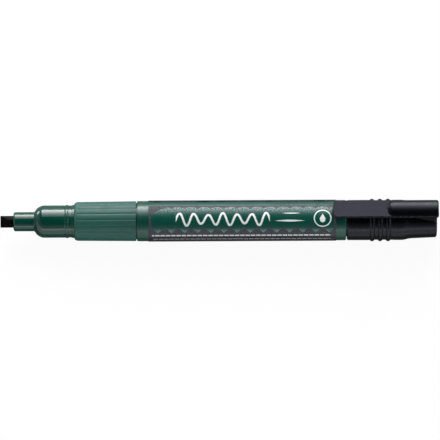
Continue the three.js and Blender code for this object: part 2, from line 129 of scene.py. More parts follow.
def wireSection(bm, look, place):  # a wire's section where its turns start, over the marker's axis
    bmesh.ops.create_circle(bm, cap_ends=False, segments=look["sides"], radius=look["wire"] * mm)
    bmesh.ops.rotate(bm, verts=bm.verts, cent=(0, 0, 0), matrix=Matrix.Rotation(math.pi / 2, 3, "X"))
    bmesh.ops.translate(bm, verts=bm.verts, vec=(along(place), 0, axisZ + look["radius"] * mm))


def closeUp(bm):  # fills what is open and turns every face outwards
    openEdges = [e for e in bm.edges if e.is_boundary]
    if openEdges:
        bmesh.ops.holes_fill(bm, edges=openEdges, sides=0)
    bmesh.ops.recalc_face_normals(bm, faces=bm.faces[:])


def markEdges(bm):  # how far the surface turns outwards at each vertex, for the wear in the materials
    turns = bm.verts.layers.float.new("edgeTurn")
    bm.normal_update()
    for v in bm.verts:
        v[turns] = max((e.calc_face_angle_signed(0) for e in v.link_edges), default=0)


def finished(bm, name, material, sharp=40):
    markEdges(bm)
    mesh = bpy.data.meshes.new(name)
    bm.to_mesh(mesh)
    bm.free()
    mesh.materials.append(material)
    mesh.shade_smooth()
    mesh.set_sharp_from_angle(angle=math.radians(sharp))
    piece = bpy.data.objects.new(name, mesh)
    bpy.context.scene.collection.objects.link(piece)
    print("made", name, len(mesh.vertices), "vertices")
    return piece


def turnedPiece(name, corners, material, closed=True, steps=96, longest=None):
    bm = bmesh.new()
    roundedWire(bm, corners, closed)
    holdCorners(bm)
    if longest:
        cutLong(bm, longest * mm)
    spinRound(bm, steps)
    closeUp(bm)
    return finished(bm, name, material)


def standsFor(piece, body, slot, *nodes):
    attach(piece, body)
    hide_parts(*nodes)
    return piece


# Helpers for materials


def newMaterial(name):
    material = bpy.data.materials.new(name)
    material.use_nodes = True
    tree = material.node_tree
    return material, tree, tree.nodes["Principled BSDF"]


def addNode(tree, kind, **settings):
    node = tree.nodes.new(kind)
    for name, value in settings.items():
        setattr(node, name, value)
    return node


def feed(tree, socket, value):
    if isinstance(value, bpy.types.NodeSocket):
        tree.links.new(value, socket)
    else:
        socket.default_value = value


def calc(tree, operation, *values, clamp=False):
    node = addNode(tree, "ShaderNodeMath", operation=operation, use_clamp=clamp)
    for socket, value in zip(node.inputs, values):
        feed(tree, socket, value)
    return node.outputs[0]


def blendColour(tree, share, first, second):
    node = addNode(tree, "ShaderNodeMix", data_type="RGBA")
    feed(tree, node.inputs[0], share)
    feed(tree, node.inputs[6], first)
    feed(tree, node.inputs[7], second)
    return node.outputs[2]


def ranged(tree, value, low, high, toLow=0.0, toHigh=1.0):
    node = addNode(tree, "ShaderNodeMapRange", interpolation_type="SMOOTHSTEP")
    for socket, given in zip(node.inputs, (value, low, high, toLow, toHigh)):
        feed(tree, socket, given)
    return node.outputs[0]


def grainAt(tree, place, scale, detail=3.0, stretch=None):
    if stretch:
        mapping = addNode(tree, "ShaderNodeMapping")
        mapping.inputs["Scale"].default_value = stretch
        tree.links.new(place, mapping.inputs["Vector"])
        place = mapping.outputs[0]
    node = addNode(tree, "ShaderNodeTexNoise")
    node.inputs["Scale"].default_value = scale
    node.inputs["Detail"].default_value = detail
    tree.links.new(place, node.inputs["Vector"])
    return node.outputs["Fac"]


def addBump(tree, shader, height, look):
    bump = addNode(tree, "ShaderNodeBump")
    bump.inputs["Strength"].default_value = look["bump"]
    bump.inputs["Distance"].default_value = look["bumpDepth"] * mm
    tree.links.new(height, bump.inputs["Height"])
    tree.links.new(bump.outputs[0], shader.inputs["Normal"])


finishLook = {  # what a finish has where its own dictionary doesn't say
    "cloudScale": 90, "clouds": (0.35, 0.65), "markScale": 260, "markDetail": 5.0, "marks": (0.3, 0.7),
    "edgeTurn": (0.2, 0.45),  # the turn of the surface, in radians, where the edge colour begins and where it is full
    "patchScale": 700, "patches": (0.4, 0.6), "wornRoughness": 0.25,
    "grainScale": 3500, "grainDetail": 2.0, "strokes": (60, 2600, 2600), "strokeShare": 0.4,
    "bumpDepth": 0.02, "shader": {},
}


def newFinish(name, ownLook):  # a moulded or machined surface: tint, grain, handling marks and edges in their own colour, which is wear, and on the cap partly a painted highlight
    look = {**finishLook, **ownLook}
    material, tree, shader = newMaterial(name)
    place = addNode(tree, "ShaderNodeTexCoord").outputs["Object"]
    base = (*look["colour"], 1)
    darker = (*[c * (1 - look["variation"]) for c in look["colour"]], 1)
    clouds = ranged(tree, grainAt(tree, place, look["cloudScale"]), *look["clouds"])
    tint = blendColour(tree, clouds, base, darker)
    if "sideColour" in look:  # where only the broad faces are matt
        broad = addNode(tree, "ShaderNodeAttribute", attribute_name="broadFace").outputs["Fac"]
        tint = blendColour(tree, broad, (*look["sideColour"], 1), tint)
    turns = addNode(tree, "ShaderNodeAttribute", attribute_name="edgeTurn").outputs["Fac"]
    edges = ranged(tree, turns, *look["edgeTurn"])
    patches = ranged(tree, grainAt(tree, place, look["patchScale"]), *look["patches"])
    # the edge colour: wear on the edges, and on the cap and its web partly a painted highlight
    edgeMarks = calc(tree, "MULTIPLY", calc(tree, "MULTIPLY", edges, patches), look["wear"])
    tree.links.new(blendColour(tree, edgeMarks, tint, (*look["wornColour"], 1)), shader.inputs["Base Color"])
    marks = grainAt(tree, place, look["markScale"], detail=look["markDetail"])
    rough = ranged(tree, marks, *look["marks"], *look["roughness"])
    rough = calc(tree, "ADD", rough, calc(tree, "MULTIPLY", edgeMarks, look["wornRoughness"]))
    tree.links.new(rough, shader.inputs["Roughness"])
    grain = grainAt(tree, place, look["grainScale"], detail=look["grainDetail"])
    strokes = grainAt(tree, place, 1.0, detail=look["grainDetail"], stretch=look["strokes"])
    height = calc(tree, "ADD", grain, calc(tree, "MULTIPLY", strokes, look["strokeShare"]))
    addBump(tree, shader, height, look)
    for socket, value in look["shader"].items():
        shader.inputs[socket].default_value = value
    return material


# Nozzle: glossy green moulding with a nose, a domed shoulder and a seat for the cap

glossLook = {
    "colour": (0.0008, 0.05, 0.034), "variation": 0.12, "roughness": (0.13, 0.19), "bump": 0.12, "wear": 0.35,
    "wornColour": (0.045, 0.115, 0.095), "grainScale": 1800, "shader": {"IOR": 1.55},
}
glossGreen = newFinish("glossGreen", glossLook)

nozzleLook = {
    "nose": [(4.5, 2.1, 0.06), (4.5, 2.87, 0.12), (4.92, 3.26, 0.14), (11.5, 3.27, 0.1)],
    "shoulder": [(12.5, 4.58, 0.25), (13.45, 5.16, 0.35), (14.25, 5.45, 0.3), (14.9, 5.5, 0.25)],
    "seat": [
        (21.88, 5.5, 0.05), (22.02, 5.42, 0.05), (22.16, 5.53, 0.05), (22.42, 5.64, 0.12),
        (22.95, 5.64, 0.12), (23.2, 5.46, 0.06), (23.34, 5.44, 0.05), (24.0, 5.45, 0.06),
    ],
    "collar": [(24.42, 5.48, 0.06), (24.52, 5.65, 0.08), (25.15, 5.65, 0.05)],
    "spigot": [
        (25.15, 5.45, 0.05), (49.39, 5.45, 0.06), (49.39, 4.69, 0.05), (50.31, 4.69, 0.05),
        (50.31, 5.45, 0.06), (54.05, 5.45, 0.2), (54.05, 3.95, 0.1),
    ],
    "bore": [(28.7, 3.95, 0.05), (28.7, 3.25, 0.1), (14.2, 3.25, 0.1), (14.2, 2.1, 0.1)],
}
nozzleCorners = [corner for part in nozzleLook.values() for corner in part]
nozzleBody = turnedPiece("nozzleBody", nozzleCorners, glossGreen)
standsFor(nozzleBody, "barrel", "gloss_green", "nozzle")

# Barrel: glossy green tube with the tail post that carries the cap

barrelLook = {
    "tube": [
        (130.15, 0, 0), (130.15, 4.3, 0.2), (117.45, 4.3, 0.2), (116.25, 5.5, 0.3), (46.25, 5.5, 0.05),
        (46.25, 6.25, 0.06), (46.45, 6.25, 0.04), (46.45, 6.62, 0.06), (46.6, 6.8, 0.1), (46.95, 6.85, 0.15),
        (117.45, 6.85, 0.45), (117.45, 5.5, 0.1),
    ],
    "tail": [
        (118.8, 5.5, 0.2), (119.3, 5.63, 0.2), (119.8, 5.63, 0.2), (120.3, 5.5, 0.2), (130.75, 5.5, 0.15),
        (131.35, 4.9, 0.15), (131.35, 0, 0),
    ],
    "finish": {
        "colour": (0.001, 0.058, 0.041), "variation": 0.12, "roughness": (0.27, 0.33), "bump": 0.15,
        "wear": 0.35, "wornColour": (0.045, 0.115, 0.095), "grainScale": 1800, "shader": {"IOR": 1.52},
    },
}
barrelGreen = newFinish("barrelGreen", barrelLook["finish"])
barrelTube = turnedPiece("barrelTube", barrelLook["tube"] + barrelLook["tail"], barrelGreen, closed=False)
standsFor(barrelTube, "barrel", "gloss_green", "barrel")

# Grip sleeve: matt green, with broad ribs and a narrow groove between each two

gripLook = {
    "outside": [
        (25.15, 5.5, 0.04), (25.15, 5.94, 0.08), (25.62, 6.44, 0.3), (26.3, 6.6, 0.35), (46.15, 6.78, 0.06),
        (46.15, 5.5, 0.05),
    ],
    "ribs": 20, "grooveHalf": 0.36, "grooveDepth": 0.1, "phase": -4.1, "crown": 0.05,
    "steps": 320, "longest": 1.5, "sharp": 50, "ribbedFrom": 5.6,  # the bore, under this radius, stays round
    "finish": {
        "colour": (0.009, 0.085, 0.067), "variation": 0.16, "roughness": (0.52, 0.62), "bump": 0.35,
        "wear": 0.4, "wornColour": (0.1, 0.24, 0.2), "grainScale": 2600, "bumpDepth": 0.03,
        "strokeShare": 0.8,
    },
}


def gripFloor(x, turned):  # how far out the sleeve reaches at a place along it and at an angle round it
    front, rear = gripLook["outside"][3], gripLook["outside"][4]
    share = min(max((x - front[0]) / (rear[0] - front[0]), 0), 1)
    radius = front[1] + (rear[1] - front[1]) * share
    pitch = 360 / gripLook["ribs"]
    off = (turned - gripLook["phase"] + pitch / 2) % pitch - pitch / 2
    fromGroove = abs(math.radians(off)) * radius
    half = math.radians(pitch / 2) * radius
    crown = gripLook["crown"] * ((fromGroove - half) / half) ** 2
    cut = max(0, 1 - fromGroove / gripLook["grooveHalf"]) * gripLook["grooveDepth"]
    return radius - crown - cut


def gripSleeve():
    look = gripLook
    bm = bmesh.new()
    roundedWire(bm, look["outside"], True)
    holdCorners(bm)
    cutLong(bm, look["longest"] * mm)
    spinRound(bm, look["steps"])
    for v in bm.verts:
        radius = math.hypot(v.co.y, v.co.z - axisZ)
        if radius > look["ribbedFrom"] * mm:
            turned = math.degrees(math.atan2(v.co.y, v.co.z - axisZ))
            floor = gripFloor((v.co.x - nibFront) / mm, turned) * mm
            if radius > floor:
                v.co.y *= floor / radius
                v.co.z = axisZ + (v.co.z - axisZ) * floor / radius
    closeUp(bm)
    return finished(bm, "gripSleeve", newFinish("gripGreen", look["finish"]), sharp=look["sharp"])


standsFor(gripSleeve(), "barrel", "matte_green", "grip_sleeve")

# Nib: a fibre rod cut to a wedge whose broad side faces the print

nibLook = {
    "radius": 2.0, "length": 26.0, "wedge": 2.5, "edge": 1.4, "sides": 64,
    "rounding": 0.12, "roundFrom": 18, "sharp": 30,  # edges that turn more than 18 degrees are rounded
    "finish": {
        "colour": (0.0006, 0.0006, 0.0008), "variation": 0.5, "roughness": (0.4, 0.6), "bump": 0.7,
        "wear": 0.4, "wornColour": (0.012, 0.012, 0.014), "grainScale": 2500, "bumpDepth": 0.08,
        "strokes": (300, 6000, 6000), "strokeShare": 1.2, "cloudScale": 500,
        "shader": {"Specular IOR Level": 0.07},
    },
}


def chiselNib():
    look = nibLook
    radius, half = look["radius"], look["edge"] / 2
    bm = bmesh.new()
    bmesh.ops.create_cone(bm, cap_ends=True, segments=look["sides"], radius1=radius * mm,
                          radius2=radius * mm, depth=look["length"] * mm)
    bmesh.ops.rotate(bm, verts=bm.verts, cent=(0, 0, 0), matrix=Matrix.Rotation(math.pi / 2, 3, "Y"))
    bmesh.ops.translate(bm, verts=bm.verts, vec=(look["length"] / 2 * mm, 0, 0))
    for side in (1, -1):  # the wedge's two faces
        normal = Vector((-(radius - half), 0, side * look["wedge"])).normalized()
        bmesh.ops.edgenet_fill(bm, edges=cutAway(bm, (0, 0, side * half * mm), normal))
    closeUp(bm)
    roundOff(bm, edgesOver(bm, look["roundFrom"]), look["rounding"] * mm)
    bmesh.ops.rotate(bm, verts=bm.verts, cent=(0, 0, 0),
                     matrix=Matrix.Rotation(math.radians(printTurn), 3, "X"))
    bmesh.ops.translate(bm, verts=bm.verts, vec=(nibFront, 0, axisZ))
    return finished(bm, "chiselNib", newFinish("nibFibre", look["finish"]), sharp=look["sharp"])


standsFor(chiselNib(), "nib", "nib_fibre", "chisel_nib")

# Label: a printed film round the barrel, clear in its window, with a bare strip between its ends

labelLook = {
    "front": 50.28, "rear": 114.0, "inner": 6.86, "outer": 6.99, "rounding": 0.04,
    "steps": 200, "longest": 0.8,
    "startTurn": -20.4, "sweep": 336,  # in degrees from the clip towards -Y, as printTurn is
    "ripple": 0.39, "rippleScale": 0.23, "rippleRow": 4.7, "ripplePressed": 0.02, "rippleReach": 1.6,
    "charcoal": (0.042, 0.047, 0.055), "black": (0.007, 0.007, 0.01), "white": (0.84, 0.88, 0.87),
    # the last colour here is the window's pale speckle: dust on the film, and partly a painted highlight and
    # a painted reflection
    "clear": (0.0012, 0.062, 0.045), "speckleSheen": (0.2, 0.25, 0.28),
    # the print's places are millimetres along the film from its front, and round it from its upper end
    "pitch": 4.454, "lowerPeak": 10.1, "upperPeak": 12.35,  # the teeth
    "upperEdge": 0.62, "upperHeight": 0.85, "lowerEdge": 10.15, "lowerHeight": 2.2, "ragged": 0.28,
    "windowFront": 1.0, "windowMiddle": 5.3, "windowRear": 62.9, "margin": (0.22, 0.32),
    "toothSoft": 0.08, "endSoft": 0.1, "bandSoft": 0.1,
    "bowAbove": (4.4, 5.4), "bowBelow": (4.9, 1.9),  # how far off its middle, and how far it draws back there
    # the pale speckle in the window is partly speckled dust on the film: in its upper part a painted
    # highlight, in its lower part a painted reflection of the floor
    "speckleHighlightAbove": {"place": (3.9, 1.2), "patches": (0.4, 0.62), "strength": 0.66},
    "speckleReflectionBelow": {"place": (8.1, 9.8), "patches": (0.25, 0.6), "strength": 0.8},
    "bandEdge": 11.85,
    # a rule's middle, half its width, its start, its end and its strength
    "rules": [(11.26, 0.3, 1.3, 61.9, 0.75), (13.25, 0.18, 1.5, 61.9, 0.4)],
    "backRules": [(17.5, 0.2, 8, 55), (18.9, 0.2, 8, 52), (20.3, 0.2, 8, 55), (21.7, 0.2, 8, 47),
                  (24.6, 0.2, 8, 55), (26.0, 0.2, 8, 50), (27.4, 0.2, 8, 34)],
    "backStrength": 0.85, "dash": 0.9, "dashShift": 3, "dashEdge": (0.1, 0.2),
    "wave": {"from": 9.4, "to": 41.2, "middle": 5.2, "rise": 1.75, "period": 4.9, "half": 0.36,
             "unsteady": 0.2, "unsteadyPace": 0.37, "crumble": 0.5, "endSoft": 0.15},
    "strokes": [(42.6, 53.4, 5.8, 0.36), (45.0, 52.0, 3.2, 0.22)],  # start, end, middle and half the width
    "strokeTaper": 0.04,
    "ring": {"place": 59.1, "middle": 5.0, "radius": 2.8, "half": 0.2},
    "drop": {"down": 0.5, "belly": (0.98, 0.88), "tip": 1.55, "flank": 0.6, "join": (0.3, 0.2),
             "soft": 0.04},
    "chalk": (0.3, 0.42), "chalky": (0.12, 0.125, 0.14), "chalkyPatches": (0.35, 0.65), "chalkyShare": 0.45,
    "smears": (0.3, 0.7), "roughness": (0.32, 0.4), "printRoughness": 0.12, "specular": (0.32, 0.1),
    "bump": 0.25, "bumpDepth": 0.02, "unevenShare": 3.0,
    # the scale and the detail of each noise
    "grains": {"speckle": (1.9, 4.0), "chalk": (7.0, 3.0), "smears": (0.35, 5.0), "uneven": (0.22, 2.0)},
}


def filmBand(tree, value, middle, half, soft=0.05):  # 1 inside a band, 0 outside
    away = calc(tree, "ABSOLUTE", calc(tree, "SUBTRACT", value, middle))
    return ranged(tree, away, calc(tree, "ADD", half, soft), calc(tree, "SUBTRACT", half, soft))


def filmPrint(tree, u, v, speckle):  # u is millimetres from the film's front, v round it from its upper end
    look = labelLook
    pitch = look["pitch"]

    def teeth(first):
        fold = calc(tree, "PINGPONG", calc(tree, "SUBTRACT", u, first), pitch / 2)
        return calc(tree, "SUBTRACT", 1.0, calc(tree, "DIVIDE", fold, pitch / 2))

    def bow(away, reach, depth):  # how far the window's front edge draws back
        share = calc(tree, "DIVIDE", calc(tree, "MAXIMUM", away, 0.0), reach)
        return calc(tree, "MULTIPLY", calc(tree, "POWER", share, 3.0), depth)

    # the pale speckled patches: dust, with a painted highlight above and a painted reflection below
    def speckleSheen(where):
        patches = ranged(tree, speckle, *where["patches"])
        return calc(tree, "MULTIPLY", calc(tree, "MULTIPLY", ranged(tree, v, *where["place"]), patches),
                    where["strength"])

    ragged = calc(tree, "MULTIPLY", calc(tree, "SUBTRACT", speckle, 0.5), look["ragged"])
    top = calc(tree, "MULTIPLY", calc(tree, "POWER", teeth(look["upperPeak"]), 3.0), look["upperHeight"])
    top = calc(tree, "ADD", calc(tree, "ADD", top, look["upperEdge"]), ragged)
    low = calc(tree, "MULTIPLY", teeth(look["lowerPeak"]), look["lowerHeight"])
    low = calc(tree, "SUBTRACT", calc(tree, "SUBTRACT", look["lowerEdge"], low), ragged)
    soft, endSoft = look["toothSoft"], look["endSoft"]
    belowTop = ranged(tree, calc(tree, "SUBTRACT", v, top), -soft, soft)
    aboveLow = ranged(tree, calc(tree, "SUBTRACT", low, v), -soft, soft)
    off = calc(tree, "SUBTRACT", v, look["windowMiddle"])
    bowAbove = bow(calc(tree, "MULTIPLY", off, -1.0), *look["bowAbove"])
    bowBelow = bow(off, *look["bowBelow"])
    front = calc(tree, "ADD", calc(tree, "ADD", bowAbove, bowBelow), look["windowFront"])
    insideFront = ranged(tree, calc(tree, "SUBTRACT", u, front), -endSoft, endSoft)
    insideRear = ranged(tree, calc(tree, "SUBTRACT", look["windowRear"], u), -endSoft, endSoft)
    window = calc(tree, "MULTIPLY", calc(tree, "MULTIPLY", belowTop, aboveLow),
                  calc(tree, "MULTIPLY", insideFront, insideRear))
    margin = ranged(tree, u, *look["margin"])
    printed = calc(tree, "MULTIPLY", calc(tree, "SUBTRACT", 1.0, window), margin)
    speckleSheenShare = calc(tree, "MAXIMUM", speckleSheen(look["speckleHighlightAbove"]), speckleSheen(look["speckleReflectionBelow"]))
    return printed, calc(tree, "MULTIPLY", speckleSheenShare, window)


def filmMarks(tree, u, v, speckle):  # the pale marks: a wave, two strokes, a ring with a drop and plain rules
    look = labelLook
    wave, drop = look["wave"], look["drop"]
    chalk = ranged(tree, speckle, *look["chalk"])
    turn = 2 * math.pi / wave["period"]
    phase = calc(tree, "MULTIPLY", calc(tree, "SUBTRACT", u, wave["from"]), turn)
    sway = calc(tree, "SINE", calc(tree, "MULTIPLY", phase, wave["unsteadyPace"]))
    unsteady = calc(tree, "MULTIPLY", sway, wave["unsteady"])
    rise = calc(tree, "MULTIPLY", calc(tree, "ADD", unsteady, 1.0), wave["rise"])
    swing = calc(tree, "MULTIPLY", calc(tree, "SINE", phase), calc(tree, "MULTIPLY", rise, -1.0))
    slope = calc(tree, "MULTIPLY", calc(tree, "COSINE", phase), calc(tree, "MULTIPLY", rise, turn))
    steep = calc(tree, "SQRT", calc(tree, "ADD", calc(tree, "MULTIPLY", slope, slope), 1.0))
    away = calc(tree, "DIVIDE", calc(tree, "SUBTRACT", v, calc(tree, "ADD", swing, wave["middle"])), steep)
    crumbly = calc(tree, "MULTIPLY", calc(tree, "SUBTRACT", speckle, 0.5), wave["crumble"])
    away = calc(tree, "ADD", away, crumbly)
    middle, half = (wave["from"] + wave["to"]) / 2, (wave["to"] - wave["from"]) / 2
    marks = calc(tree, "MULTIPLY", filmBand(tree, away, 0.0, wave["half"]),
                 filmBand(tree, u, middle, half, wave["endSoft"]))
    for start, end, middle, half in look["strokes"]:
        share = calc(tree, "DIVIDE", calc(tree, "SUBTRACT", u, start), end - start, clamp=True)
        thick = calc(tree, "MULTIPLY", calc(tree, "SINE", calc(tree, "MULTIPLY", share, math.pi)), half)
        thick = calc(tree, "SUBTRACT", thick, look["strokeTaper"])
        marks = calc(tree, "MAXIMUM", marks, filmBand(tree, v, middle, thick))
    ring = look["ring"]
    du, dv = calc(tree, "SUBTRACT", u, ring["place"]), calc(tree, "SUBTRACT", v, ring["middle"])

    def farFrom(below):  # from the ring's middle, or from a place below it
        down = calc(tree, "SUBTRACT", dv, below)
        squares = calc(tree, "ADD", calc(tree, "MULTIPLY", du, du), calc(tree, "MULTIPLY", down, down))
        return calc(tree, "SQRT", squares)

    marks = calc(tree, "MAXIMUM", marks, filmBand(tree, farFrom(0.0), ring["radius"], ring["half"]))
    belly = ranged(tree, farFrom(drop["down"]), *drop["belly"])
    wide = calc(tree, "MULTIPLY", calc(tree, "ADD", dv, drop["tip"]), drop["flank"])
    flank = calc(tree, "SUBTRACT", wide, calc(tree, "ABSOLUTE", du))
    tip = calc(tree, "MULTIPLY", ranged(tree, flank, -drop["soft"], drop["soft"]),
               ranged(tree, dv, *drop["join"]))
    marks = calc(tree, "MAXIMUM", marks, calc(tree, "MAXIMUM", belly, tip))
    marks = calc(tree, "MULTIPLY", marks, chalk)
    backRules = [(*rule, look["backStrength"]) for rule in look["backRules"]]
    for middle, half, start, end, strength in look["rules"] + backRules:
        rule = calc(tree, "MULTIPLY", filmBand(tree, v, middle, half),
                    filmBand(tree, u, (start + end) / 2, (end - start) / 2))
        fold = calc(tree, "PINGPONG", calc(tree, "ADD", u, middle * look["dashShift"]), look["dash"])
        dash = ranged(tree, fold, *look["dashEdge"])
        dashed = calc(tree, "MULTIPLY", calc(tree, "MULTIPLY", rule, dash), strength)
        marks = calc(tree, "MAXIMUM", marks, dashed)
    return marks


def filmFinish():
    look = labelLook
    material, tree, shader = newMaterial("printedFilm")
    place = addNode(tree, "ShaderNodeAttribute", attribute_name="printPlace").outputs["Vector"]
    split = addNode(tree, "ShaderNodeSeparateXYZ")
    tree.links.new(place, split.inputs[0])
    u, v = split.outputs[0], split.outputs[1]
    grains, edge, soft = look["grains"], look["bandEdge"], look["bandSoft"]
    speckle = grainAt(tree, place, *grains["speckle"])
    printed, speckleSheenShare = filmPrint(tree, u, v, speckle)
    marks = filmMarks(tree, u, v, grainAt(tree, place, *grains["chalk"]))
    charcoal = blendColour(tree, ranged(tree, v, edge - soft, edge + soft),
                           (*look["charcoal"], 1), (*look["black"], 1))
    chalky = blendColour(tree, ranged(tree, speckle, *look["chalkyPatches"], 0.0, look["chalkyShare"]),
                         charcoal, (*look["chalky"], 1))
    # the window's clear green takes the pale speckle, which is dust with a painted highlight and a painted
    # reflection
    clear = blendColour(tree, speckleSheenShare, (*look["clear"], 1), (*look["speckleSheen"], 1))
    ground = blendColour(tree, printed, clear, chalky)
    tree.links.new(blendColour(tree, marks, ground, (*look["white"], 1)), shader.inputs["Base Color"])
    smears = grainAt(tree, place, *grains["smears"])
    rough = calc(tree, "ADD", ranged(tree, smears, *look["smears"], *look["roughness"]),
                 calc(tree, "MULTIPLY", printed, look["printRoughness"]))
    tree.links.new(rough, shader.inputs["Roughness"])
    uneven = calc(tree, "MULTIPLY", grainAt(tree, place, *grains["uneven"]), look["unevenShare"])
    addBump(tree, shader, calc(tree, "ADD", uneven, calc(tree, "ADD", marks, speckle)), look)
    tree.links.new(ranged(tree, printed, 0.0, 1.0, *look["specular"]), shader.inputs["Specular IOR Level"])
    return material


def labelFilm():
    look = labelLook
    bm = bmesh.new()
    corners = [(look["front"], look["inner"], 0), (look["front"], look["outer"], look["rounding"]),
               (look["rear"], look["outer"], look["rounding"]), (look["rear"], look["inner"], 0)]
    roundedWire(bm, corners, True)
    holdCorners(bm)
    cutLong(bm, look["longest"] * mm)
    bmesh.ops.rotate(bm, verts=bm.verts, cent=(0, 0, axisZ),
                     matrix=Matrix.Rotation(math.radians(look["startTurn"]), 3, "X"))
    spinRound(bm, look["steps"], look["sweep"])
    printPlace = bm.verts.layers.float_vector.new("printPlace")
    for v in bm.verts:
        turned = (math.degrees(math.atan2(-v.co.y, v.co.z - axisZ)) - look["startTurn"]) % 360
        turned = turned if turned < 350 else 0  # the front end may come out just short of a full turn
        u = (v.co.x - nibFront) / mm - look["front"]
        v[printPlace] = (u, math.radians(turned) * look["outer"], 0)
        fromEnd = math.radians(look["sweep"] - turned) * look["outer"]
        wavy = noise.noise(Vector((u * look["rippleScale"], look["rippleRow"], 0))) - look["ripplePressed"]
        nearEnd = max(0, 1 - fromEnd / look["rippleReach"])
        lift = max(0, wavy) * nearEnd * look["ripple"] * mm  # the film's end is lifted here and there
        radius = math.hypot(v.co.y, v.co.z - axisZ)
        v.co.y *= 1 + lift / radius
        v.co.z = axisZ + (v.co.z - axisZ) * (1 + lift / radius)
    closeUp(bm)
    return finished(bm, "labelFilm", filmFinish())


standsFor(labelFilm(), "barrel", "label_film", "barrel_label")

# Cap: satin black, with three rings, a step down to a waist and a web that carries the clip

capLook = {
    "socket": [
        (146.55, 0, 0), (146.55, 4.97, 0.1), (133.95, 4.97, 0.1), (133.22, 5.7, 0.15), (120.3, 5.7, 0.15),
        (119.55, 5.84, 0.2), (118.8, 5.7, 0.15), (117.75, 5.7, 0.12),
    ],
    "mouth": [(117.75, 6.55, 0.15), (118.08, 6.83, 0.22), (125.1, 6.85, 0.1)],
    "rings": [126.27, 128.99, 131.71], "valley": 6.77, "valleyRound": 0.15, "ringTop": 7.25,
    "ringHalf": 0.8, "crestHalf": 0.4, "ringRound": 0.32,
    "waist": [
        (134.0, 6.85, 0.2), (136.8, 6.85, 0.8), (139.0, 6.32, 0.8), (147.7, 5.98, 0.12), (148.2, 5.6, 0.16),
        (148.2, 0, 0),
    ],
    "steps": 128,
    "finish": {
        "colour": (0.0008, 0.0009, 0.0018), "variation": 0.2, "roughness": (0.23, 0.3), "bump": 0.2,
        # its edge colour is partly wear and partly a painted highlight along the rims, the rings and the end
        "wear": 0.6, "wornColour": (0.09, 0.09, 0.1), "grainScale": 2600, "bumpDepth": 0.03,
        "shader": {"Specular IOR Level": 0.32, "Specular Tint": (0.78, 0.84, 1, 1)},
    },
}
capBlack = newFinish("capBlack", capLook["finish"])
capCorners = capLook["socket"] + capLook["mouth"]
for middle in capLook["rings"]:
    foot, crest = capLook["ringHalf"], capLook["crestHalf"]
    for off in (-foot, -crest, crest, foot):
        height, rounding = ("valley", "valleyRound") if abs(off) == foot else ("ringTop", "ringRound")
        capCorners.append((middle + off, capLook[height], capLook[rounding]))
capCorners += capLook["waist"]
capBody = turnedPiece("capBody", capCorners, capBlack, closed=False, steps=capLook["steps"])
standsFor(capBody, "cap", "cap_black", "cap_shell")

webLook = {"front": 141.1, "rear": 147.95, "top": 1.6, "foot": (2.7, 3.7), "footHeight": 4.47,
           "topHeight": 8.17, "round": 0.5, "cuts": 9,
           "finish": {**capLook["finish"], "roughness": (0.4, 0.5), "shader": {"Specular IOR Level": 0.1}}}


def clipWeb():
    look = webLook
    bm = bmesh.new()
    bmesh.ops.create_cube(bm, size=1)
    for v in bm.verts:
        rear, high = v.co.x > 0, v.co.z > 0
        half = look["top"] if high else look["foot"][rear]
        v.co = (along(look["rear"] if rear else look["front"]), math.copysign(half * mm, v.co.y),
                axisZ + (look["topHeight"] if high else look["footHeight"]) * mm)
    upright = [e for e in bm.edges if abs(e.verts[0].co.z - e.verts[1].co.z) > mm]
    roundOff(bm, upright, look["round"] * mm, segments=4)
    longer = [e for e in bm.edges if e.calc_length() > mm]
    bmesh.ops.subdivide_edges(bm, edges=longer, cuts=look["cuts"], use_grid_fill=True)
    closeUp(bm)
    return finished(bm, "clipWeb", newFinish("webBlack", look["finish"]))


clipWebPiece = clipWeb()
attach(clipWebPiece, "cap")

# Clip: a flat spring with a rounded tip, a pad under it and a raised back on its rear half

clipLook = {
    "tip": 112.7, "tipLength": 1.3, "rear": 148.7, "half": 3.175, "under": 7.57, "thick": 1.2,
    "edge": 0.22, "rimFrom": 60, "rearCorner": 0.7, "tipSides": 48, "step": 0.9, "ring": 0.08,
    "pad": {"front": 113.9, "length": 2.2, "half": 2.0, "low": 7.29, "thick": 0.8, "edge": 0.16},
    "back": {
        "front": 131.3, "short": 0.05,  # it ends this far before the plate does
        "half": 2.85, "high": 1.19, "crown": 4.63, "sunk": 0.15,  # crown is the radius of its top
        "edge": 0.18, "rimFrom": 35, "steps": 144,
        "nose": [(0.22, -0.69, 0.25), (1.2, -0.14, 0.6), (2.6, 0, 0.9)],  # from the front and from the crown
        "tail": [(-0.1, 0, 0.4), (0, -0.6, 0.2)],  # from the rear and from the crown
    },
    "bend": (143.0, 132.0),  # the arm bends between these places
    "finish": {
        "colour": (0.019, 0.0205, 0.036), "variation": 0.2, "roughness": (0.42, 0.5), "bump": 0.3,
        "sideColour": (0.0025, 0.0027, 0.005), "wear": 0.3, "wornColour": (0.08, 0.08, 0.1),
        "grainScale": 2600, "bumpDepth": 0.03, "shader": {"Specular IOR Level": 0.13},
    },
    "backFinish": {
        "colour": (0.0012, 0.0013, 0.0025), "variation": 0.2, "roughness": (0.3, 0.36), "bump": 0.08,
        "wear": 0.5, "wornColour": (0.05, 0.05, 0.06), "grainScale": 2600, "bumpDepth": 0.02,
        "shader": {"Specular IOR Level": 0.22, "Specular Tint": (0.78, 0.84, 1, 1)},
    },
}
clipBlack = newFinish("clipBlack", clipLook["finish"])


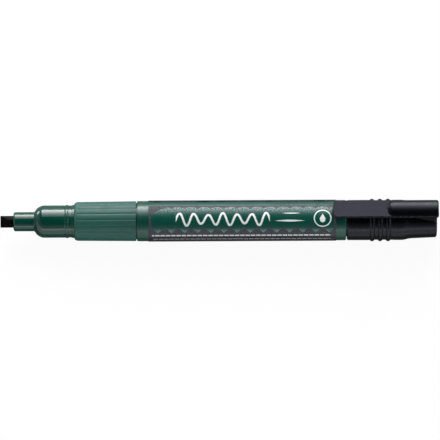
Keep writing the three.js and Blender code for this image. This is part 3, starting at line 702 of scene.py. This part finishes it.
def clipPlate():
    look = clipLook
    bm = bmesh.new()
    bmesh.ops.create_circle(bm, cap_ends=True, segments=look["tipSides"], radius=1)
    bmesh.ops.scale(bm, verts=bm.verts, vec=(look["tipLength"] * mm, look["half"] * mm, 1))
    middle = along(look["tip"] + look["tipLength"])
    bmesh.ops.translate(bm, verts=bm.verts, vec=(middle, 0, axisZ + look["under"] * mm))
    cutAway(bm, (middle, 0, 0), (1, 0, 0))
    run = look["rear"] - look["tip"] - look["tipLength"]
    steps = round(run / look["step"])
    edge = [e for e in bm.edges if all(abs(v.co.x - middle) < 1e-7 for v in e.verts)]
    for _ in range(steps):
        made = bmesh.ops.extrude_edge_only(bm, edges=edge)["geom"]
        edge = only(made, bmesh.types.BMEdge)
        bmesh.ops.translate(bm, verts=only(made, bmesh.types.BMVert), vec=(run / steps * mm, 0, 0))
    corners = [v for v in bm.verts if abs(v.co.x - along(look["rear"])) < 1e-7]
    roundOff(bm, corners, look["rearCorner"] * mm, segments=5, kind="VERTICES")
    made = bmesh.ops.extrude_face_region(bm, geom=bm.faces[:], use_keep_orig=True)["geom"]
    bmesh.ops.translate(bm, verts=only(made, bmesh.types.BMVert), vec=(0, 0, look["thick"] * mm))
    closeUp(bm)
    roundOff(bm, edgesOver(bm, look["rimFrom"]), look["edge"] * mm)
    broadFace = bm.verts.layers.float.new("broadFace")
    for side in (1, -1):  # a narrow ring round each broad face keeps it flat in the shading
        broad = [f for f in bm.faces if f.normal.z * side > 0.999]
        bmesh.ops.inset_region(bm, faces=broad, thickness=look["ring"] * mm, use_even_offset=True)
        for v in {v for f in broad for v in f.verts}:
            v[broadFace] = 1
    return finished(bm, "clipPlate", clipBlack)


def clipPad():
    pad = clipLook["pad"]
    bm = bmesh.new()
    bmesh.ops.create_cube(bm, size=1)
    bmesh.ops.scale(bm, verts=bm.verts, vec=(pad["length"] * mm, 2 * pad["half"] * mm, pad["thick"] * mm))
    bmesh.ops.translate(bm, verts=bm.verts, vec=(along(pad["front"] + pad["length"] / 2), 0,
                                                 axisZ + (pad["low"] + pad["thick"] / 2) * mm))
    roundOff(bm, bm.edges[:], pad["edge"] * mm)
    return finished(bm, "clipPad", clipBlack)


def clipBack():  # a long body with a crowned top, cut to the width of the clip and to its upper face
    back = clipLook["back"]
    top = clipLook["under"] + clipLook["thick"]
    crown, front, rear = back["crown"], back["front"], clipLook["rear"] - back["short"]
    low = crown - back["high"]
    bm = bmesh.new()
    corners = [(front, 0, 0), (front, low, 0)]
    corners += [(front + x, crown + radius, rounding) for x, radius, rounding in back["nose"]]
    corners += [(rear + x, crown + radius, rounding) for x, radius, rounding in back["tail"]]
    roundedWire(bm, corners + [(rear, 0, 0)], False)
    holdCorners(bm)
    cutLong(bm, clipLook["step"] * mm)
    spinRound(bm, back["steps"])
    bmesh.ops.translate(bm, verts=bm.verts, vec=(0, 0, (top - low) * mm))
    cuts = [((0, 0, axisZ + (top - back["sunk"]) * mm), (0, 0, -1)), ((0, back["half"] * mm, 0), (0, 1, 0)),
            ((0, -back["half"] * mm, 0), (0, -1, 0))]
    for place, outward in cuts:
        cutAway(bm, place, outward)
        closeUp(bm)
    roundOff(bm, edgesOver(bm, back["rimFrom"]), back["edge"] * mm)
    return finished(bm, "clipBack", newFinish("clipBackBlack", clipLook["backFinish"]))


for piece in (clipPlate(), clipBack()):
    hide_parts("clip_arm")
    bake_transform(piece)
clipPadPiece = clipPad()
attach(clipPadPiece, "clip")

# Inner cap: the soft cup that closes on the nozzle's nose

plasticLook = {
    "colour": (0.66, 0.63, 0.56), "variation": 0.08, "roughness": (0.36, 0.5), "bump": 0.25, "wear": 0.4,
    "wornColour": (0.5, 0.47, 0.4), "grainScale": 2200, "bumpDepth": 0.03, "cloudScale": 200,
}
naturalPlastic = newFinish("naturalPlastic", plasticLook)
innerCapLook = [
    (145.35, 0, 0), (145.35, 3.37, 0.2), (134.45, 3.37, 0.06), (134.05, 3.77, 0.08), (134.05, 4.92, 0.12),
    (146.45, 4.92, 0.2), (146.45, 0, 0),
]
innerCap = turnedPiece("innerCap", innerCapLook, naturalPlastic, closed=False)
standsFor(innerCap, "cap", "natural_plastic", "inner_cap")

# Nib sponge: a sleeve of foam round the nib, damp with ink

spongeLook = {
    "sleeve": [(14.3, 2.1, 0.1), (14.3, 3.2, 0.25), (23.85, 3.2, 0.25), (23.85, 2.1, 0.1)], "longest": 0.8,
    "finish": {
        "colour": (0.03, 0.09, 0.07), "variation": 0.7, "roughness": (0.8, 0.95), "bump": 1.0, "wear": 0.6,
        "wornColour": (0.12, 0.22, 0.19), "grainScale": 4500, "bumpDepth": 0.15, "cloudScale": 900,
        "strokeShare": 0.0,
    },
}
inkyFoam = newFinish("inkyFoam", spongeLook["finish"])
nibSponge = turnedPiece("nibSponge", spongeLook["sleeve"], inkyFoam, longest=spongeLook["longest"])
standsFor(nibSponge, "barrel", "sponge", "nib_sponge")

# Valve: a soft seat, a stem that the nib pushes back, a spring and the cage that holds it

valveLook = {
    "seat": [(28.75, 1.5, 0.08), (28.75, 3.9, 0.1), (31.2, 3.9, 0.1), (31.2, 2.6, 0.06), (30.4, 1.5, 0.12)],
    "seatFinish": {
        "colour": (0.05, 0.05, 0.052), "variation": 0.3, "roughness": (0.55, 0.7), "bump": 0.4, "wear": 0.5,
        "wornColour": (0.11, 0.11, 0.11), "grainScale": 1800, "bumpDepth": 0.03,
    },
    "stem": [
        (26.1, 0, 0), (26.1, 2.05, 0.15), (24.0, 2.05, 0.06), (24.0, 2.85, 0.12), (26.9, 2.85, 0.2),
        (26.9, 0.9, 0.25), (30.04, 0.9, 0.1), (31.06, 2.3, 0.12), (32.16, 2.3, 0.15), (32.16, 1.2, 0.1),
        (35.16, 1.2, 0.25), (35.16, 0, 0),
    ],
    "stemSteps": 64,
}
softSeal = newFinish("softSeal", valveLook["seatFinish"])
standsFor(turnedPiece("valveSeat", valveLook["seat"], softSeal), "barrel", "soft_seal", "valve_seat")
valveStem = turnedPiece("valveStem", valveLook["stem"], naturalPlastic, closed=False,
                        steps=valveLook["stemSteps"])
standsFor(valveStem, "nib", "natural_plastic", "valve_stem")

cageLook = {"front": 31.3, "rear": 43.16, "bore": 3.1, "outer": 3.9, "floor": 41.96, "hole": 1.2,
            "windowFront": 35.16, "windowRear": 40.76, "windowHalf": 16.9, "windows": 4, "steps": 64}


def valveCage():
    look = cageLook
    bm = bmesh.new()
    near, far = look["windowFront"], look["windowRear"]
    corners = [(look["front"], look["bore"], 0.06), (look["front"], look["outer"], 0.12),
               (near, look["outer"], 0), (far, look["outer"], 0), (look["rear"], look["outer"], 0.2),
               (look["rear"], look["hole"], 0.1), (look["floor"], look["hole"], 0.06),
               (look["floor"], look["bore"], 0.1), (far, look["bore"], 0), (near, look["bore"], 0)]
    roundedWire(bm, corners, True)
    holdCorners(bm)
    spinRound(bm, look["steps"])

    def nearest(place):  # the window that is nearest round the cage, and how far off its middle is
        turned = math.degrees(math.atan2(place.y, place.z - axisZ)) * look["windows"] / 360
        return round(turned) % look["windows"], abs(turned - round(turned)) * 360 / look["windows"]

    def inWindow(face):
        middle = face.calc_center_median()
        inside = along(near) < middle.x < along(far)
        return inside and nearest(middle)[1] < look["windowHalf"]

    bmesh.ops.delete(bm, geom=[f for f in bm.faces if inWindow(f)], context="FACES")
    for window in range(look["windows"]):
        rim = [e for e in bm.edges
               if e.is_boundary and nearest((e.verts[0].co + e.verts[1].co) / 2)[0] == window]
        bmesh.ops.bridge_loops(bm, edges=rim)
    closeUp(bm)
    return finished(bm, "valveCage", naturalPlastic)


standsFor(valveCage(), "barrel", "natural_plastic", "valve_cage")

steelLook = {
    "colour": (0.52, 0.53, 0.55), "variation": 0.15, "roughness": (0.18, 0.34), "bump": 0.3, "wear": 0.5,
    "wornColour": (0.68, 0.69, 0.7), "grainScale": 2400, "bumpDepth": 0.01, "strokes": (500, 3000, 3000),
    "cloudScale": 300, "shader": {"Metallic": 1.0},
}
springSteel = newFinish("springSteel", steelLook)
springLook = {"front": 32.26, "rear": 41.86, "radius": 1.75, "wire": 0.2, "steps": 32, "sides": 12,
              "coils": [(1, 0.42), (5, None), (1, 0.42)],  # turns and their run, or None for what is left
              "keep": 0.844}


def valveSpring():
    look = springLook
    bm = bmesh.new()
    wireSection(bm, look, look["front"] + look["wire"])
    last = bm.verts[:] + bm.edges[:]
    full = look["rear"] - look["front"] - 2 * look["wire"]
    rest = full - sum(run for turns, run in look["coils"] if run)
    for turns, run in look["coils"]:
        count = turns * look["steps"]
        step = (rest if run is None else run) / count * mm
        made = bmesh.ops.spin(bm, geom=last, cent=(0, 0, axisZ), axis=(1, 0, 0), dvec=(step, 0, 0),
                              angle=2 * math.pi * turns, steps=count, use_merge=False, use_duplicate=False)
        last = made["geom_last"]
    closeUp(bm)
    return finished(bm, "valveSpring", springSteel)


valveSpringPiece = standsFor(valveSpring(), "barrel", "spring_steel", "valve_spring")
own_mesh(valveSpringPiece)

# Seal ring in the spigot's groove, and the loose ball that stirs the ink

sealLook = {"place": 49.85, "radius": 5.115, "wire": 0.36, "sides": 20, "steps": 96}


def sealRing():
    look = sealLook
    bm = bmesh.new()
    wireSection(bm, look, look["place"])
    spinRound(bm, look["steps"])
    closeUp(bm)
    return finished(bm, "sealRing", softSeal)


standsFor(sealRing(), "barrel", "soft_seal", "seal_ring")

ballLook = {"radius": 2.5, "place": 56.65, "down": 2.888, "fineness": 4,
            "finish": {**steelLook, "roughness": (0.1, 0.24)}}


def mixingBall():
    look = ballLook
    bm = bmesh.new()
    bmesh.ops.create_icosphere(bm, subdivisions=look["fineness"], radius=look["radius"] * mm)
    bmesh.ops.translate(bm, verts=bm.verts, vec=(along(look["place"]), 0, axisZ - look["down"] * mm))
    return finished(bm, "mixingBall", newFinish("ballSteel", look["finish"]))


standsFor(mixingBall(), "ball", "ball_steel", "mixing_ball")

# Camera, as in the photograph: far off, high on the print's side, with the marker across the frame

cameraLook = {"distance": 1.5, "elevation": 63.5, "frameWidth": 149.6 * mm, "aimX": 0.29 * mm,
              "above": 0.25 * mm, "roll": 0.29, "sensor": 36, "clip": (0.01, 100)}


def photoCamera():
    look = cameraLook
    data = bpy.data.cameras.new("photoCamera")
    data.sensor_width = look["sensor"]
    data.lens = data.sensor_width * look["distance"] / look["frameWidth"]
    camera = bpy.data.objects.new("photoCamera", data)
    bpy.context.scene.collection.objects.link(camera)
    rise = math.radians(look["elevation"])
    back = Vector((0, -math.cos(rise), math.sin(rise)))
    upward = Vector((0, math.sin(rise), math.cos(rise)))
    aim = Vector((look["aimX"], 0, axisZ)) + upward * look["above"]
    turn = back.to_track_quat("Z", "Y").to_matrix() @ Matrix.Rotation(math.radians(-look["roll"]), 3, "Z")
    camera.matrix_world = Matrix.Translation(aim + back * look["distance"]) @ turn.to_4x4()
    data.clip_start, data.clip_end = look["clip"]
    bpy.context.scene.camera = camera


photoCamera()
print("camera set")

# Floor, lamps and the room

stageLook = {
    "reach": 4.0, "wall": 3.4, "bend": 0.9, "steps": 64, "colour": (0.8, 0.8, 0.8), "glow": 0.95,
    # reflections see it white ahead of the marker and on the wall, grey behind it, and dark under it, which
    # is a painted shadow
    "glossUnder": 0.004, "glossNear": 0.011, "glossFar": 0.02, "glossWall": (0.02, 0.2),
    "glossShadow": 0.1, "glossBehind": 0.42,
    "fadeLow": 0.5, "fadeHigh": 1.8, "fadeTo": 0.25,  # and dimmer higher up the wall
}


def paleStudio():  # a floor that bends up into a wall all round
    look = stageLook
    bm = bmesh.new()
    verts = [bm.verts.new(p) for p in ((0, 0, 0), (look["reach"], 0, 0), (look["reach"], 0, look["wall"]))]
    for a, b in zip(verts, verts[1:]):
        bm.edges.new((a, b))
    roundOff(bm, [verts[1]], look["bend"], segments=10, kind="VERTICES")
    bmesh.ops.spin(bm, geom=bm.verts[:] + bm.edges[:], cent=(0, 0, 0), axis=(0, 0, 1), angle=2 * math.pi,
                   steps=look["steps"], use_merge=True, use_duplicate=False)
    bmesh.ops.remove_doubles(bm, verts=bm.verts[:], dist=0.01 * mm)
    material = bpy.data.materials.new("paleStudio")
    material.use_nodes = True
    tree = material.node_tree
    tree.nodes.clear()
    paint = addNode(tree, "ShaderNodeBsdfDiffuse")
    paint.inputs[0].default_value = (*look["colour"], 1)
    glow = addNode(tree, "ShaderNodeEmission")
    rays = addNode(tree, "ShaderNodeLightPath")
    place = addNode(tree, "ShaderNodeSeparateXYZ")
    tree.links.new(addNode(tree, "ShaderNodeTexCoord").outputs["Object"], place.inputs[0])
    across, high = place.outputs[1], place.outputs[2]
    ahead = calc(tree, "MULTIPLY", across, -1.0)
    whiteness = calc(tree, "MAXIMUM", ranged(tree, ahead, look["glossNear"], look["glossFar"]),
                     ranged(tree, high, *look["glossWall"]))
    whiteness = calc(tree, "MULTIPLY", whiteness,
                     ranged(tree, high, look["fadeLow"], look["fadeHigh"], 1.0, look["fadeTo"]))
    # in reflections only: a painted shadow under the marker and just ahead of it, turning grey behind it
    behind = ranged(tree, across, look["glossUnder"], look["glossNear"],
                    look["glossShadow"], look["glossBehind"])
    inGloss = calc(tree, "MAXIMUM", whiteness, behind)
    glossy = rays.outputs["Is Glossy Ray"]
    clearRay = calc(tree, "MAXIMUM", rays.outputs["Is Camera Ray"], rays.outputs["Is Transmission Ray"])
    tree.links.new(calc(tree, "MAXIMUM", clearRay, calc(tree, "MULTIPLY", glossy, inGloss)), glow.inputs[1])
    mix = addNode(tree, "ShaderNodeMixShader")
    share = calc(tree, "MAXIMUM", calc(tree, "MULTIPLY", clearRay, look["glow"]), glossy)
    tree.links.new(share, mix.inputs[0])
    tree.links.new(paint.outputs[0], mix.inputs[1])
    tree.links.new(glow.outputs[0], mix.inputs[2])
    tree.links.new(mix.outputs[0], addNode(tree, "ShaderNodeOutputMaterial").inputs["Surface"])
    finished(bm, "paleStudio", material)


paleStudio()

lampLook = {  # elevation is above the floor, side 90 is behind the marker and -90 in front of it
    "behindLow": {"elevation": 31.5, "side": 90, "wide": 1.3, "tall": 0.4, "watts": 19},
    "behindMiddle": {"elevation": 45, "side": 90, "wide": 1.3, "tall": 0.3, "watts": 9.5},
    "behindHigh": {"elevation": 57, "side": 90, "wide": 1.3, "tall": 0.3, "watts": 5.6},
    "overhead": {"elevation": 71, "side": 90, "wide": 1.3, "tall": 0.4, "watts": 3.2},
    "frontLow": {"elevation": 3.2, "side": -90, "wide": 2.0, "tall": 0.15, "watts": 2.0},
    "frontFill": {"elevation": 15, "side": -90, "wide": 1.6, "tall": 0.6, "watts": 7.5, "seen": False},
    "shoulderSide": {"elevation": 11, "side": 139, "wide": 0.4, "tall": 0.35, "watts": 3.5},
    "capSide": {"elevation": 25, "side": -10, "wide": 0.6, "tall": 0.5, "watts": 1.4},
}
lampDistance = 1.4
for name, lamp in lampLook.items():
    data = bpy.data.lights.new(name, "AREA")
    data.shape = "RECTANGLE"
    data.size, data.size_y, data.energy = lamp["wide"], lamp["tall"], lamp["watts"]
    rise, side = math.radians(lamp["elevation"]), math.radians(lamp["side"])
    outward = Vector((math.cos(rise) * math.cos(side), math.cos(rise) * math.sin(side), math.sin(rise)))
    lampObject = bpy.data.objects.new(name, data)
    lampObject.visible_glossy = lamp.get("seen", True)  # the fill is left out of the reflections
    bpy.context.scene.collection.objects.link(lampObject)
    lampObject.matrix_world = (Matrix.Translation(outward * lampDistance)
                               @ outward.to_track_quat("Z", "Y").to_matrix().to_4x4())

roomGrey = 0.02
room = bpy.data.worlds.new("dimRoom")
bpy.context.scene.world = room
room.use_nodes = True
room.node_tree.nodes["Background"].inputs["Color"].default_value = (roomGrey, roomGrey, roomGrey, 1)

bpy.context.scene.view_settings.view_transform = "Standard"
print("stage set")
